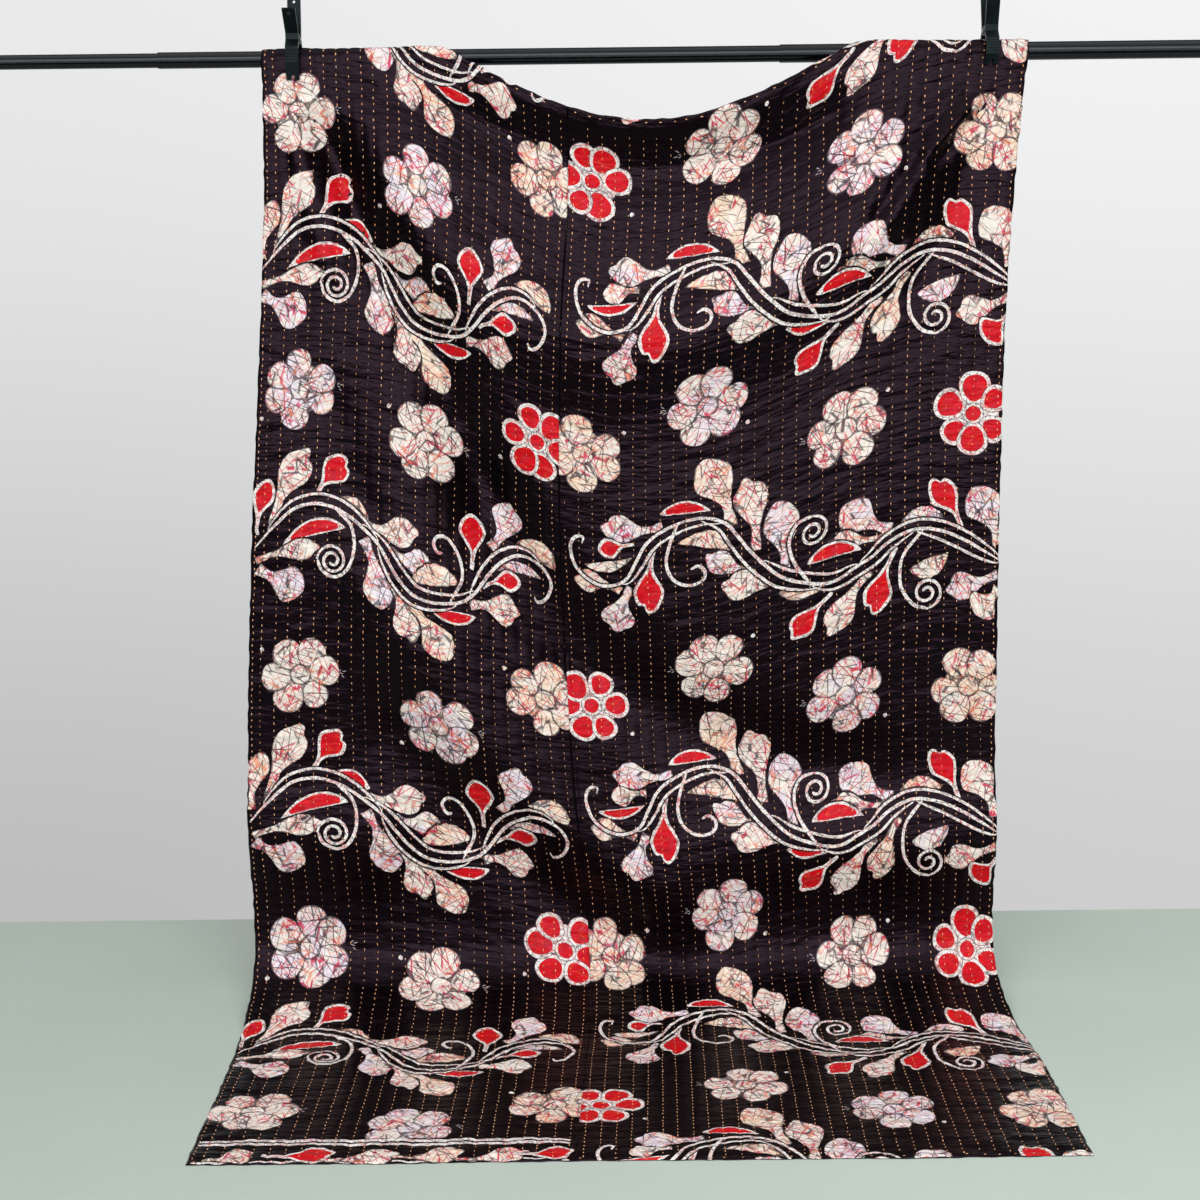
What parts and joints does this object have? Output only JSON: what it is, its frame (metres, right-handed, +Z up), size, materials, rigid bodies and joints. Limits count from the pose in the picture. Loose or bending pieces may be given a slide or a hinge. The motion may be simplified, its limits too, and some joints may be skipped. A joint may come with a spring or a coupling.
{
  "type": "kantha quilt hung over a crossbar with spring clamps",
  "caption": "Stitched cotton quilt of joined printed panels, clamped over a telescoping bar so that its top sags in a swag and its foot runs out over the floor.",
  "frame": {"origin": "on the floor, at the middle of the footprint of bar, clamps and quilt", "axes": "+X along the crossbar to the viewer's right, -Y the way the printed face looks, +Z up"},
  "size_m": [2.08, 0.7418, 1.74],
  "materials": {
    "printed_cotton": "soft washed cotton, wax-resist print, running stitch",
    "bar_paint": "satin black powder coat",
    "clamp_plastic": "moulded black nylon",
    "clamp_steel": "dark spring steel"
  },
  "bodies": {
    "root": {"quilt_left_panel": "printed_cotton", "quilt_right_panel": "printed_cotton", "bar_thin_tube": "bar_paint", "bar_mid_tube": "bar_paint", "bar_thick_tube": "bar_paint", "clamp_left_front_lever": "clamp_plastic", "clamp_left_back_lever": "clamp_plastic", "clamp_left_pin": "clamp_steel", "clamp_left_spring": "clamp_steel", "clamp_right_front_lever": "clamp_plastic", "clamp_right_back_lever": "clamp_plastic", "clamp_right_pin": "clamp_steel", "clamp_right_spring": "clamp_steel"}
  },
  "joints": []
}
